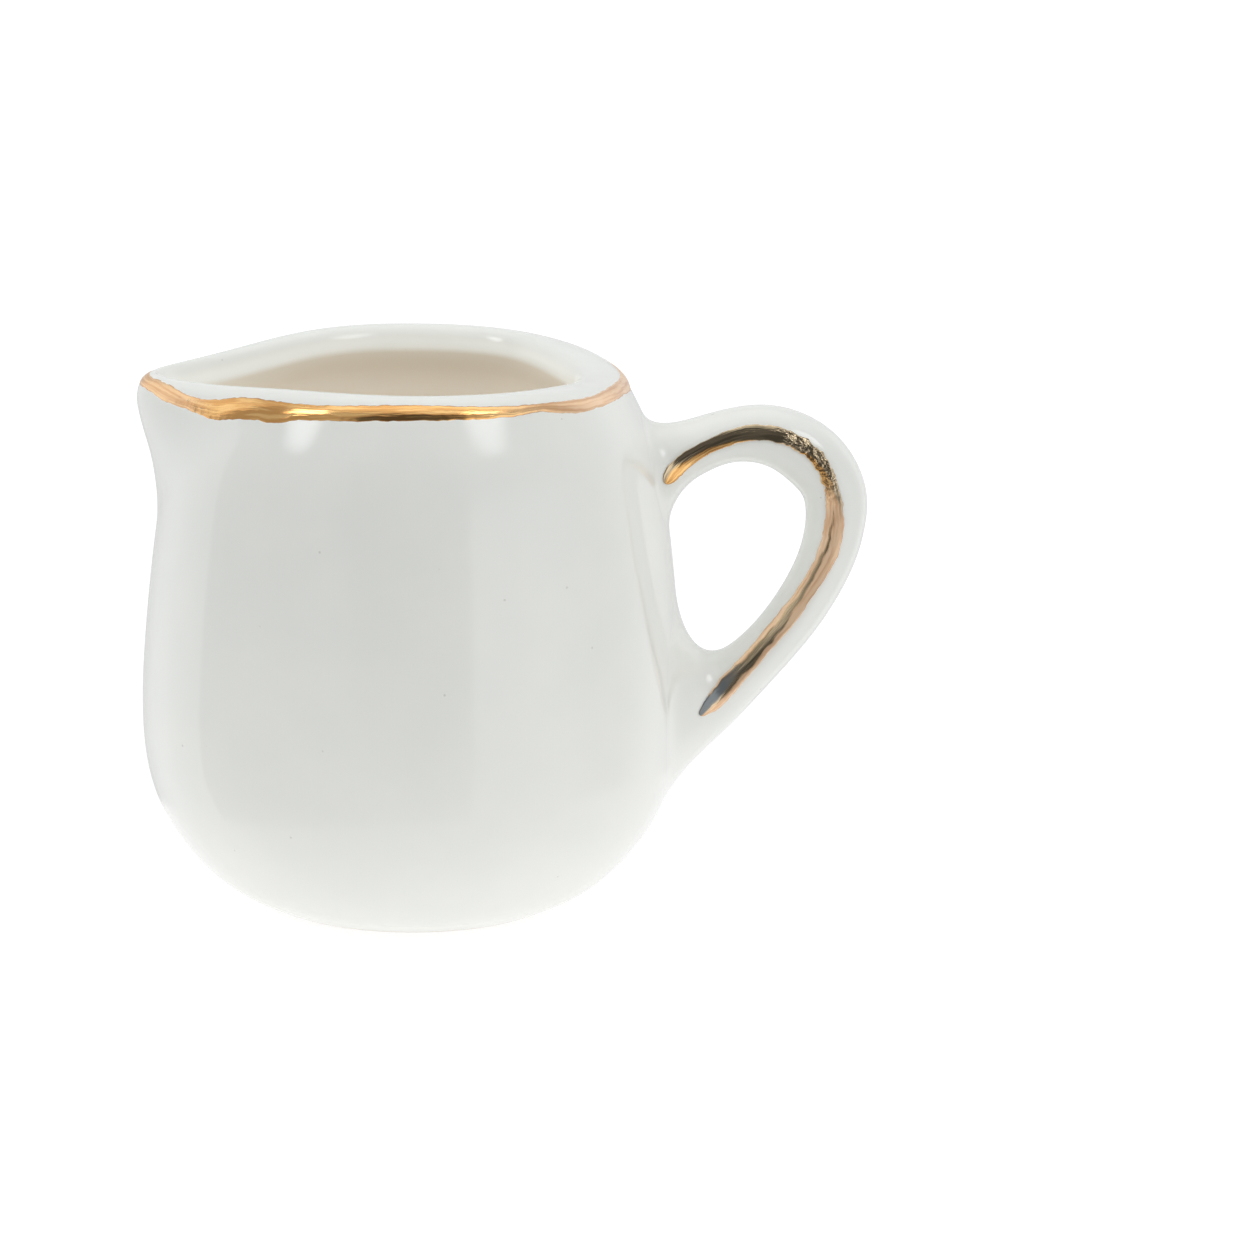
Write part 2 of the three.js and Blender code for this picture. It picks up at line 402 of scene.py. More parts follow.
def body_outline():
    """The whole closed outline, from the recess's middle round to the inside floor's middle."""
    recess = [[radius, RECESS_HEIGHT] for radius in RECESS_RADII]
    belly = np.linspace(0, SHOULDER_PLACE, BELLY_RINGS)
    rim = np.linspace(SHOULDER_PLACE + 0.5, outside.knots[-1], RIM_RINGS)
    over = outside.at(np.concatenate([belly, rim]))
    inner = parallel(over[: BELLY_RINGS + 10], WALL)
    keep = (inner[:, 1] > PARALLEL[0]) & (inner[:, 1] < PARALLEL[1])
    wall = inner[keep][::-1][::4]
    down = Spline([over[-1], *wall, *FLOOR_CORNER]).even(INSIDE_RINGS)[1:]
    floor = [[radius, FLOOR_HEIGHT] for radius in FLOOR_RADII]
    return np.array([*recess, *RECESS_EDGE, *FOOT_RING, *GLAZE_EDGE, *over, *down, *floor])


def to_frame(points):
    """Millimetres from the body's axis to metres in the shared frame."""
    return np.asarray(points, float) * MM + np.array([AXIS_X, 0, 0])


# ---- Meshes ----


def make_object(name, points, faces):
    """A smooth-shaded mesh object."""
    mesh = bpy.data.meshes.new(name)
    mesh.from_pydata([tuple(p) for p in points], [], faces)
    mesh.validate()
    mesh.polygons.foreach_set("use_smooth", [True] * len(mesh.polygons))
    piece = bpy.data.objects.new(name, mesh)
    bpy.context.scene.collection.objects.link(piece)
    return piece


def mark(piece, name, values):
    """Give each vertex a value that the material reads."""
    layer = piece.data.attributes.new(name, "FLOAT", "POINT")
    layer.data.foreach_set("value", np.asarray(values, float).astype(np.float32))


def grid_faces(rows, columns, closed_columns, flip=False):
    """The faces of a grid of points, row by row."""
    faces = []
    last = columns if closed_columns else columns - 1
    for i in range(rows - 1):
        for j in range(last):
            k = (j + 1) % columns
            face = (i * columns + j, i * columns + k, (i + 1) * columns + k, (i + 1) * columns + j)
            faces.append(face[::-1] if flip else face)
    return faces


def grid_normals(grid, closed_columns, flip=False):
    """Smooth normals of a grid of points, from its own differences."""
    down = np.gradient(grid, axis=0)
    if closed_columns:
        across = np.roll(grid, -1, axis=1) - np.roll(grid, 1, axis=1)
    else:
        across = np.gradient(grid, axis=1)
    normal = np.cross(across, down)
    size = np.linalg.norm(normal, axis=-1, keepdims=True)
    normal = normal / np.maximum(size, 1e-12)
    return -normal if flip else normal


def ride_as(piece, node):
    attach(piece, "root")
    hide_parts(node)


# ---- The body piece ----

def crowded(count):
    """Angles all the way round from the lip, closer together near it."""
    even = np.arange(count) * 2 * np.pi / count
    return even - CROWDING * np.sin(even)


def make_body():
    """The whole body as one closed surface, outside and inside."""
    outline = body_outline()
    angle = angle_from_lip(crowded(AROUND))
    rings = outline[1:-1]
    grid = [drawn_out(np.full(AROUND, r), np.full(AROUND, z), angle) for r, z in rings]
    count = len(rings)
    points = to_frame(grid).reshape(-1, 3).tolist()
    points.append(tuple(to_frame([0, 0, outline[0][1]])))
    points.append(tuple(to_frame([0, 0, outline[-1][1]])))
    under, floor = len(points) - 2, len(points) - 1
    faces = grid_faces(count, AROUND, True)
    for j in range(AROUND):
        k = (j + 1) % AROUND
        faces.append((under, k, j))
        faces.append((floor, (count - 1) * AROUND + j, (count - 1) * AROUND + k))
    piece = make_object("jug_body_porcelain", points, faces)
    height = rings[:, 1]
    past_crest = np.arange(count) > np.argmax(height)
    # Where the inside carries its painted light and shade: past the crest and below the rim.
    painted_inside = falling(height, *PAINTED_INSIDE_START) * past_crest
    mark(piece, "inside", [*np.repeat(painted_inside, AROUND), 0, 1])
    # Painted light: where the glaze just under the thick rim glows.
    glow = smoothstep(height, *RIM_PAINTED_LIGHT_RISE) * falling(height, *RIM_PAINTED_LIGHT_FALL) * past_crest
    mark(piece, "glow", [*np.repeat(glow, AROUND), 0, 0])
    return piece


def angle_from_lip(angle):
    """Angles measured from the lip, turned to the handle's side and kept within -pi to pi."""
    turned = angle + np.pi
    return (turned + np.pi) % (2 * np.pi) - np.pi


body = make_body()

# ---- The handle and its slip joints ----

handle_outer = Spline([[x, side, z] for x, z, _, _, side in HANDLE], range(len(HANDLE)))
handle_inner = Spline([[x, side, z] for _, _, x, z, side in HANDLE], range(len(HANDLE)))


def handle_point(place, turn):
    """A point of the handle's surface. turn is 0 on the outermost line and pi on the innermost."""
    outer, inner = handle_outer.at(place), handle_inner.at(place)
    side = outer[..., 1]
    middle = (outer + inner) / 2
    half = (outer - inner) / 2
    x = middle[..., 0] + half[..., 0] * np.cos(turn)
    z = middle[..., 2] + half[..., 2] * np.cos(turn)
    return np.stack([x, side * np.sin(turn), z], axis=-1)


def wall_point(y, z):
    """The point of the body's outside, on the handle's side, at a place across and a height."""
    height = z.copy()
    for _ in range(6):
        radius = wall_radius(height)
        angle = np.arcsin(np.clip(y / radius, -1, 1))
        sink = HANDLE_DIP * smoothstep(height, DIP_START, DIP_END) * np.cos(angle) ** DIP_SHARPNESS
        height = z + sink
    return drawn_out(wall_radius(height), height, np.arcsin(np.clip(y / wall_radius(height), -1, 1)))


outside_samples = outside.even(2000)
outside_samples = outside_samples[: np.argmax(outside_samples[:, 1])]


def wall_radius(height):
    return np.interp(height, outside_samples[:, 1], outside_samples[:, 0])


def joint_grid(place, inwards, root, rows):
    """A fillet from the handle's end section, at place, to an oval on the body's wall."""
    turn = np.arange(AROUND_HANDLE) * 2 * np.pi / AROUND_HANDLE
    start = handle_point(np.full_like(turn, place), turn)
    leave = start - handle_point(np.full_like(turn, place - 0.02 * inwards), turn)
    leave /= np.linalg.norm(leave, axis=1)[:, None]
    dy = root["wide"] * np.sin(turn)
    dz = root["up"] * root["tall"] * np.cos(turn)
    further = 1 + 0.01 / np.hypot(dy, dz)
    end = wall_point(dy, root["z"] + dz)
    out = wall_point(dy * further, root["z"] + dz * further) - end
    out /= np.linalg.norm(out, axis=1)[:, None]
    gap = np.linalg.norm(end - start, axis=1)[:, None]
    leave *= gap * root["leave"]
    run = out * gap * root["run"]
    grid = []
    for s in np.linspace(0, 1, rows):
        h00, h10 = 2 * s**3 - 3 * s**2 + 1, s**3 - 2 * s**2 + s
        h01, h11 = -2 * s**3 + 3 * s**2, s**3 - s**2
        grid.append(h00 * start + h10 * leave + h01 * end + h11 * run)
    return np.stack(grid), end, out


def make_tube(name, grid, flip, caps):
    """A closed tube with flat caps and exact side normals. caps are the middles of its ends."""
    normals = grid_normals(grid, True, flip)
    rows, columns = grid.shape[:2]
    points = to_frame(grid).reshape(-1, 3).tolist()
    faces = grid_faces(rows, columns, True, flip)
    first = list(range(columns))
    last_row = [(rows - 1) * columns + j for j in range(columns)]
    for ring, centre, turned in ((first, caps[0], not flip), (last_row, caps[1], flip)):
        points.append(tuple(to_frame(centre)))
        middle = len(points) - 1
        for j in range(columns):
            k = (j + 1) % columns
            face = (ring[j], ring[k], middle)
            faces.append(face[::-1] if turned else face)
    piece = make_object(name, points, faces)
    mesh = piece.data
    loop_normals = []
    flat = normals.reshape(-1, 3)
    side_faces = (rows - 1) * columns
    for polygon in mesh.polygons:
        for vertex in polygon.vertices:
            if polygon.index < side_faces:
                loop_normals.append(tuple(flat[vertex]))
            else:
                loop_normals.append(tuple(polygon.normal))
    mesh.normals_split_custom_set(loop_normals)
    return piece


def make_handle():
    """The handle between its two slip joints."""
    turn = np.arange(AROUND_HANDLE) * 2 * np.pi / AROUND_HANDLE
    places = np.linspace(0, len(HANDLE) - 1, HANDLE_ROWS)
    grid = np.stack([handle_point(np.full_like(turn, p), turn) for p in places])
    caps = grid[0].mean(axis=0), grid[-1].mean(axis=0)
    return make_tube("handle_porcelain", grid, False, caps)


def make_joint(name, place, inwards, root):
    """A slip joint, whose edge feathers out on the wall and whose end is buried in it."""
    grid, end, out = joint_grid(place, inwards, root, JOINT_ROWS)
    feather = end + out * FEATHER[0] - np.array([FEATHER[1], 0, 0])
    buried = end - np.array([BURIED[1], 0, 0])
    full = np.concatenate([grid, [feather, buried + out * BURIED[0]]])
    return make_tube(name, full, inwards < 0, (grid[0].mean(axis=0), buried.mean(axis=0)))


def waves(value, seed, pitch, layers=5):
    """A smooth uneven line, from sums of sines with no common period. Its size is about 1."""
    total = np.zeros_like(value)
    for i in range(layers):
        rate = 1.618**i / pitch
        total += np.sin(2 * np.pi * rate * value + 1.7 * seed + 2.3 * i * i) / 1.45**i
    return total / 2


def make_film(name, top, closed, depth):
    """A closed film: its shaped top, a grid of points, over the same grid sunk by depth."""
    rows, columns = top.shape[:2]
    bottom = top - depth
    points = np.concatenate([top.reshape(-1, 3), bottom.reshape(-1, 3)])
    faces = grid_faces(rows, columns, closed)
    under = [tuple(v + rows * columns for v in face[::-1]) for face in faces]
    rim = []
    last = columns if closed else columns - 1
    for j in range(last):
        k = (j + 1) % columns
        rim.append((j, k, k + rows * columns, j + rows * columns)[::-1])
        base = (rows - 1) * columns
        rim.append((base + j, base + k, base + k + rows * columns, base + j + rows * columns))
    if not closed:
        for i in range(rows - 1):
            j, k = i * columns, (i + 1) * columns
            rim.append((j, k, k + rows * columns, j + rows * columns))
            j, k = j + columns - 1, k + columns - 1
            rim.append((j, k, k + rows * columns, j + rows * columns)[::-1])
    return make_object(name, to_frame(points), [*faces, *under, *rim])


def outline_place(height):
    """The place along the outside outline at which the round wall has a height."""
    places = np.linspace(0, outside.knots[-1], 4000)
    samples = outside.at(places)[:, 1]
    top = np.argmax(samples)
    return np.interp(height, samples[:top], places[:top])


def edge_height(near, far, degrees):
    """An edge's height at angles from the lip: positive angles are on the near side."""
    near_line = Spline([[h] for _, h in near], [a for a, _ in near])
    far_line = Spline([[h] for _, h in far], [a for a, _ in far])
    return np.where(degrees >= 0, near_line.at(degrees)[:, 0], far_line.at(-degrees)[:, 0])


def make_rim_band():
    """The gilded film round the rim, with a brush's uneven edges, over the bead it is painted on."""
    from_lip = crowded(BAND_COLUMNS)
    degrees = np.degrees((from_lip + np.pi) % (2 * np.pi) - np.pi)
    away = np.abs(degrees)
    arc = np.radians(degrees) * BAND_RADIUS
    high = edge_height(BAND_TOP, FAR_TOP, degrees) + 0.03 * waves(arc, seed=1, pitch=3.1, layers=4)
    low = edge_height(BAND_BOTTOM, FAR_BOTTOM, degrees)
    low = low + 0.05 * waves(arc, seed=2, pitch=4.3, layers=4)
    first, last = outline_place(low), outline_place(high)
    across = np.linspace(0, 1, BAND_ROWS)
    grid = []
    for share in across:
        wall = outside.at(first + (last - first) * share)
        grid.append(drawn_out(wall[:, 0], wall[:, 1], angle_from_lip(from_lip)))
    grid = np.stack(grid)
    normals = grid_normals(grid, True)
    outward = np.sign(np.sum(normals[..., :2] * grid[..., :2], axis=-1, keepdims=True))
    normals = normals * outward
    edge = np.minimum(across, 1 - across)[:, None]
    rough = 0.012 * waves(arc, seed=3, pitch=2.2, layers=3)[None, :]
    swell = BAND_BULGE * (1 - LIP_FLAT * falling(away, *FLAT_END))
    round_back = swell * np.sin(np.pi * across)[:, None]
    lift = BAND_LIFT * smoothstep(edge, 0, BAND_EDGE) - BAND_SINK
    lift = lift + rough * falling(edge, 0, 0.25) + round_back
    top = grid + normals * lift[..., None]
    film = make_film("rim_gilding_film", top, True, normals * BAND_DEPTH)
    turned = degrees % 360
    thin = smoothstep(turned, *THIN_START) * falling(turned, *THIN_END)
    thin += LIP_THIN * falling(away, *LIP_THIN_END)
    pooled = smoothstep(degrees, *POOL_START) * falling(degrees, *POOL_END)
    for mark_name, values in (("thin", thin), ("pooled", pooled), ("along", arc)):
        mark(film, mark_name, np.tile(values, 2 * BAND_ROWS))
    mark(film, "across", np.tile(np.repeat(2 * across - 1, BAND_COLUMNS), 2))
    return film


def surface_tree(pieces):
    """The pieces' surfaces together, for finding where a ray meets them."""
    points, faces = [], []
    for piece in pieces:
        first = len(points)
        points += [vertex.co.copy() for vertex in piece.data.vertices]
        faces += [tuple(v + first for v in polygon.vertices) for polygon in piece.data.polygons]
    return BVHTree.FromPolygons(points, faces)


def make_stroke(name, side, tree, seed):
    """A gilded rib on one side of the handle. side is -1 for the near side, and 1 for the far."""
    rows, columns = STROKE_ROWS, STROKE_COLUMNS
    outer = Spline([[x, z] for x, z, _, _ in STROKE], range(len(STROKE)))
    inner = Spline([[x, z] for _, _, x, z in STROKE], range(len(STROKE)))
    places = np.linspace(0, len(STROKE) - 1, rows)
    a, b = outer.at(places), inner.at(places)
    along = places * STROKE_PITCH
    middle, half = (a + b) / 2, (a - b) / 2
    start = np.clip(places / START_LENGTH, 0, 1)
    end = np.clip((places[-1] - places) / END_LENGTH, 0, 1)
    taper = np.sqrt(start * (2 - start))
    taper = taper * (END_WIDTH + (1 - END_WIDTH) * np.sqrt(end * (2 - end)))
    worn = smoothstep(places, *WORN_START) * falling(places, *WORN_END)
    sway = (0.03 + 0.06 * worn) * waves(along, seed, pitch=2.7, layers=3)
    grow = 1 + (0.05 + 0.09 * worn) * waves(along, seed + 1, pitch=3.7, layers=4)
    slope_end = math.sqrt(1 + RIB_CREST**2) - RIB_CREST
    top = np.zeros((columns, rows, 3))
    down = np.zeros((columns, rows, 3))
    for j, c in enumerate(np.linspace(-1, 1, columns)):
        flat = middle + half * (c * taper * grow + sway)[:, None]
        roof = 1 - (math.sqrt(c * c + RIB_CREST**2) - RIB_CREST) / slope_end
        pits = 0.05 * worn * waves(along + 0.8 * c, seed + 2, pitch=0.9) * (1 - c * c)
        lift = RIB * roof * np.minimum(1, taper * 1.2) - RIB_FOOT + pits
        for i in range(rows):
            place = to_frame([flat[i, 0], side * 15, flat[i, 1]])
            point, normal, _, _ = tree.ray_cast(Vector(place), Vector((0, -side, 0)))
            normal = np.array(normal)
            top[j, i] = (np.array(point) - np.array([AXIS_X, 0, 0])) / MM + normal * lift[i]
            down[j, i] = normal * (lift[i] + STROKE_DEPTH)
    if side < 0:
        top, down = top[::-1], down[::-1]
    film = make_film(name, top, False, down)
    across = np.linspace(-1, 1, columns)[:: -1 if side < 0 else 1, None]
    wander = 0.12 * waves(along, seed + 3, pitch=5.1, layers=3)[None, :]
    marks = stroke_marks(places[None, :], across + wander)
    marks["pooled"] = worn[None, :] + 0 * across
    marks["along"] = along[None, :] + 0 * across
    marks["across"] = across + 0 * along[None, :]
    for mark_name, values in marks.items():
        mark(film, mark_name, np.tile(values.ravel(), 2))
    return film


def stroke_marks(place, across):
    """Where a stroke is thin, dark or smoky. across is -1 at its inner edge and 1 at its outer."""
    first = smoothstep(across - follow(DARK_EDGE, place), -DARK_SOFTNESS, DARK_SOFTNESS)
    from_core = np.abs(across - follow(CORE_MIDDLE, place))
    later = falling(from_core - follow(CORE_HALF, place), -CORE_SOFTNESS, CORE_SOFTNESS)
    later = later * smoothstep(place, *CORE_START)
    dark = first * falling(place, *DARK_END) + later
    smoky = later * smoothstep(place, *SMOKY_START) * falling(across, *SMOKY_ACROSS)
    thin = smoothstep(place, *THIN_GOLD_START) * (1 - later)
    return {"dark": dark, "smoky": smoky, "thin": thin}


handle = make_handle()
upper_joint = make_joint("upper_slip_joint_porcelain", 0, -1, UPPER_ROOT)
lower_joint = make_joint("lower_slip_joint_porcelain", len(HANDLE) - 1, 1, LOWER_ROOT)
rim_band = make_rim_band()
handle_tree = surface_tree([handle, upper_joint, lower_joint, body])
near_stroke = make_stroke("near_stroke_gilding", -1, handle_tree, 5)
far_stroke = make_stroke("far_stroke_gilding", 1, handle_tree, 11)

ride_as(body, "jug_body")
ride_as(handle, "handle")
ride_as(upper_joint, "upper_slip_joint")
ride_as(lower_joint, "lower_slip_joint")
ride_as(rim_band, "rim_gilding")
ride_as(near_stroke, "handle_gilding_front")
ride_as(far_stroke, "handle_gilding_back")

# ---- Camera ----

CAMERA_DISTANCE = 608.4  # millimetres
CAMERA_ELEVATION = math.radians(13.43)
CAMERA_ROLL = math.radians(0.77)
AIM = [22.21, 0, 29.9]  # millimetres from the body's axis
LENS = 165.9

camera_data = bpy.data.cameras.new("camera")
camera_data.lens = LENS
camera_data.sensor_width = 36
camera_data.clip_start = 0.05
camera_data.clip_end = 20
camera = bpy.data.objects.new("camera", camera_data)
bpy.context.scene.collection.objects.link(camera)
bpy.context.scene.camera = camera
back = Vector((0, -math.cos(CAMERA_ELEVATION), math.sin(CAMERA_ELEVATION)))
aim = Vector(to_frame(AIM).tolist())
turn = back.to_track_quat("Z", "Y") @ Matrix.Rotation(CAMERA_ROLL, 3, "Z").to_quaternion()
camera.rotation_mode = "QUATERNION"
camera.rotation_quaternion = turn
camera.location = aim + back * CAMERA_DISTANCE * MM

# ---- Floor, world and lights ----

CARD_SHINE = 0.047  # metres: the floor within this far shows in the jug's glaze
CARD_GLOW = 0.11  # metres: the floor within this far lights the jug
FLOOR_WHITE = 0.32
FLOOR_GLOW = 0.77
FLOOR_HALF = 3.0  # metres
JUG_MIDDLE = 0.03  # metres up: what the softbox faces
FADE_OUT = 1.15  # how many times CARD_SHINE away the floor's reflection has gone

# The studio's walls, by how bright they are. Azimuths are degrees round from the camera's side,
# heights are sines of the elevation, and a pair is where something starts and where it ends.
FRONT_LEVEL = 0.55  # the wall behind the camera
RIGHT_LEVEL = 0.65  # what a low card on the right adds to it
TOP_LEVEL = 0.65  # what the roof adds to it
BACK_LEVEL = 1.11  # the walls at the sides and behind the jug
BEHIND_SHARE = 0.65  # how much of that is left straight behind the jug
DARK_SHARE = 0.22  # how much light is left just round the camera
LEFT_EDGE = [-100, -98]
RIGHT_EDGE = [75, 130]
CARD_START = [27, 29]
CARD_END = [60, 90]
CARD_HEIGHT = [0.1, 0.35]
ROOF_HEIGHT = [0.6, 0.97]
WALL_HEIGHT = [0.4, 0.95]
BEHIND = [125, 160]
DARK_PLACE = [0, 12]  # degrees round and up
DARK_CONE = [0.82, 0.93]  # cosines of the angle from there
WORLD_TINT = (0.98, 0.99, 1.0, 1)
# The two lamps: [degrees round from the camera's side, degrees up, degrees wide, brightness].
LAMPS = [[-66, 38.5, 10, 4.2], [47, 43, 10, 3.5]]


def maths(tree, kind, first, second=None, third=None):
    """A Math node. Its inputs are sockets or plain numbers."""
    node = tree.nodes.new("ShaderNodeMath")
    node.operation = kind
    for i, value in enumerate((first, second, third)):
        if value is None:
            continue
        if isinstance(value, (int, float)):
            node.inputs[i].default_value = value
        else:
            tree.links.new(value, node.inputs[i])
    return node.outputs[0]


def ramp(tree, value, low, high, to_low=0.0, to_high=1.0, smooth=True):
    """A value that goes from to_low to to_high while the input goes from low to high."""
    node = tree.nodes.new("ShaderNodeMapRange")
    node.interpolation_type = "SMOOTHSTEP" if smooth else "LINEAR"
    node.inputs["From Min"].default_value = low
    node.inputs["From Max"].default_value = high
    node.inputs["To Min"].default_value = to_low
    node.inputs["To Max"].default_value = to_high
    tree.links.new(value, node.inputs["Value"])
    return node.outputs["Result"]


def turn_ramp(tree, turn, pair, to_low=0.0, to_high=1.0):
    """The same over a pair of angles in degrees, for an input in radians."""
    return ramp(tree, turn, math.radians(pair[0]), math.radians(pair[1]), to_low, to_high)


def facing(tree, place, degrees, up):
    """How nearly a direction points degrees round from the camera's side and up: 1 is exactly."""
    turn, lift = math.radians(degrees), math.radians(up)
    node = tree.nodes.new("ShaderNodeVectorMath")
    node.operation = "DOT_PRODUCT"
    tree.links.new(place, node.inputs[0])
    flat = math.cos(lift)
    node.inputs[1].default_value = (flat * math.sin(turn), -flat * math.cos(turn), math.sin(lift))
    return node.outputs["Value"]


def make_world():
    """A white tent over and behind the jug, open on the camera's side, with two soft lamps."""
    world = bpy.data.worlds.new("studio")
    bpy.context.scene.world = world
    world.use_nodes = True
    tree = world.node_tree
    tree.nodes.clear()
    place = tree.nodes.new("ShaderNodeTexCoord").outputs["Generated"]
    split = tree.nodes.new("ShaderNodeSeparateXYZ")
    tree.links.new(place, split.inputs[0])
    x, y, z = split.outputs
    azimuth = maths(tree, "ARCTAN2", x, maths(tree, "MULTIPLY", y, -1.0))
    left = turn_ramp(tree, azimuth, LEFT_EDGE, 1.0, 0.0)
    right = turn_ramp(tree, azimuth, RIGHT_EDGE)
    sides = maths(tree, "MAXIMUM", left, right)
    roof = maths(tree, "MULTIPLY", ramp(tree, z, *ROOF_HEIGHT), TOP_LEVEL)
    front = maths(tree, "ADD", roof, FRONT_LEVEL)
    back = ramp(tree, z, *WALL_HEIGHT, BACK_LEVEL, TOP_LEVEL)
    behind = turn_ramp(tree, maths(tree, "ABSOLUTE", azimuth), BEHIND, 1.0, BEHIND_SHARE)
    back = maths(tree, "MULTIPLY", back, behind)
    level = maths(tree, "MAXIMUM", front, maths(tree, "MULTIPLY", sides, back))
    dark = ramp(tree, facing(tree, place, *DARK_PLACE), *DARK_CONE, 1.0, DARK_SHARE)
    level = maths(tree, "MULTIPLY", level, dark)
    card_end = turn_ramp(tree, azimuth, CARD_END, 1.0, 0.0)
    card = maths(tree, "MULTIPLY", turn_ramp(tree, azimuth, CARD_START), card_end)
    low = ramp(tree, z, *CARD_HEIGHT, RIGHT_LEVEL, 0.0)
    level = maths(tree, "MULTIPLY_ADD", card, low, level)
    for degrees, up, wide, bright in LAMPS:
        inner, outer = math.cos(math.radians(wide * 0.45)), math.cos(math.radians(wide * 1.3))
        lamp = ramp(tree, facing(tree, place, degrees, up), outer, inner)
        level = maths(tree, "MULTIPLY_ADD", lamp, bright, level)
    lit = tree.nodes.new("ShaderNodeBackground")
    lit.inputs["Color"].default_value = WORLD_TINT
    tree.links.new(level, lit.inputs["Strength"])
    plain = tree.nodes.new("ShaderNodeBackground")
    plain.inputs["Strength"].default_value = 1.0
    path = tree.nodes.new("ShaderNodeLightPath")
    mix = tree.nodes.new("ShaderNodeMixShader")
    tree.links.new(path.outputs["Is Camera Ray"], mix.inputs[0])
    tree.links.new(lit.outputs[0], mix.inputs[1])
    tree.links.new(plain.outputs[0], mix.inputs[2])
    out = tree.nodes.new("ShaderNodeOutputWorld")
    tree.links.new(mix.outputs[0], out.inputs["Surface"])


def make_floor():
    """A white light table. Past a short way out, only the camera sees it."""
    mesh = bpy.data.meshes.new("floor")
    corners = [(x * FLOOR_HALF, y * FLOOR_HALF, 0) for x, y in ((-1, -1), (1, -1), (1, 1), (-1, 1))]
    mesh.from_pydata(corners, [], [(0, 1, 2, 3)])
    floor = bpy.data.objects.new("floor", mesh)
    bpy.context.scene.collection.objects.link(floor)
    material = bpy.data.materials.new("white_floor")
    material.use_nodes = True
    tree = material.node_tree
    tree.nodes.clear()
    paper = tree.nodes.new("ShaderNodeBsdfDiffuse")
    paper.inputs["Color"].default_value = (FLOOR_WHITE, FLOOR_WHITE, FLOOR_WHITE, 1)
    glow = tree.nodes.new("ShaderNodeEmission")
    glow.inputs["Strength"].default_value = FLOOR_GLOW
    table = tree.nodes.new("ShaderNodeAddShader")
    tree.links.new(paper.outputs[0], table.inputs[0])
    tree.links.new(glow.outputs[0], table.inputs[1])
    place = tree.nodes.new("ShaderNodeTexCoord").outputs["Object"]
    length = tree.nodes.new("ShaderNodeVectorMath")
    length.operation = "LENGTH"
    tree.links.new(place, length.inputs[0])
    away = length.outputs["Value"]
    path = tree.nodes.new("ShaderNodeLightPath")
    shine = ramp(tree, away, CARD_SHINE, CARD_SHINE * FADE_OUT)
    shine = maths(tree, "MULTIPLY", shine, path.outputs["Is Glossy Ray"])
    light = ramp(tree, away, CARD_GLOW * 0.7, CARD_GLOW * 1.3)
    light = maths(tree, "MULTIPLY", light, path.outputs["Is Diffuse Ray"])
    through = maths(tree, "MAXIMUM", shine, light)
    clear = tree.nodes.new("ShaderNodeBsdfTransparent")
    mix = tree.nodes.new("ShaderNodeMixShader")
    tree.links.new(through, mix.inputs[0])
    tree.links.new(table.outputs[0], mix.inputs[1])
    tree.links.new(clear.outputs[0], mix.inputs[2])
    out = tree.nodes.new("ShaderNodeOutputMaterial")
    tree.links.new(mix.outputs[0], out.inputs["Surface"])
    mesh.materials.append(material)


def soft_light(name, place, size, power):
    """A square softbox that faces the jug."""
    data = bpy.data.lights.new(name, "AREA")
    data.shape = "SQUARE"
    data.size = size
    data.energy = power
    light = bpy.data.objects.new(name, data)
    light.location = place
    light.rotation_mode = "QUATERNION"
    from_jug = Vector(place) - Vector((0, 0, JUG_MIDDLE))
    light.rotation_quaternion = from_jug.to_track_quat("Z", "Y")
    bpy.context.scene.collection.objects.link(light)


make_world()
make_floor()
soft_light("softbox_top", place=(0.0, 0.25, 1.0), size=0.8, power=0.3)
bpy.context.scene.view_settings.view_transform = "Standard"

# ---- Materials ----

GLAZE_COOL = (0.862, 0.87, 0.828)
GLAZE_WARM = (0.882, 0.887, 0.842)
# Painted light and shade: the inside is painted lighter and warmer than the outside glaze, and darker
# just under the rim.
GLAZE_INSIDE_PAINTED_LIGHT = (0.975, 0.925, 0.84)
GLAZE_NECK_PAINTED_SHADE = (0.89, 0.835, 0.735)  # painted shade: the inside just under the rim, darker than deeper down
RIM_PAINTED_LIGHT = 0.15  # painted light: a glow just under the thick rim, standing in for the light that the rim passes on
INSIDE_PAINTED_LIGHT = 0.06  # painted light: the inside glows, standing in for the light that reaches it through the thin wall
PINHOLE = (0.42, 0.40, 0.34)
BARE_CLAY = (0.82, 0.79, 0.73)
GOLD = (0.90, 0.56, 0.23)
GOLD_DEEP = (0.70, 0.37, 0.13)
GOLD_THIN = (1.0, 0.72, 0.50)
GOLD_BLUSH = (0.80, 0.51, 0.32)
GOLD_DARK = (0.68, 0.54, 0.36)
GOLD_DARKEST = (0.36, 0.29, 0.19)
GOLD_SMOKY = (0.20, 0.22, 0.23)

# Heights in metres over which the inside's painted shade, its painted light and the glaze on the foot
# change.
PAINTED_NECK_SHADE_HEIGHT = [0.0505, 0.0545]
INSIDE_PAINTED_LIGHT_HEIGHT = [0.0495, 0.0555]
BARE_HEIGHT = [0.00022, 0.0004]
NECK_PAINTED_LIGHT = 0.01  # what is left of the inside's painted light at the neck
# Brush streaks in the gold: how many there are in a millimetre along it, and across half of it.
LANES_ALONG = 0.16
LANES_ACROSS = 2.4


def shader(name):
    """A new material, its node tree and its shader."""
    material = bpy.data.materials.new(name)
    material.use_nodes = True
    tree = material.node_tree
    return material, tree, tree.nodes["Principled BSDF"]


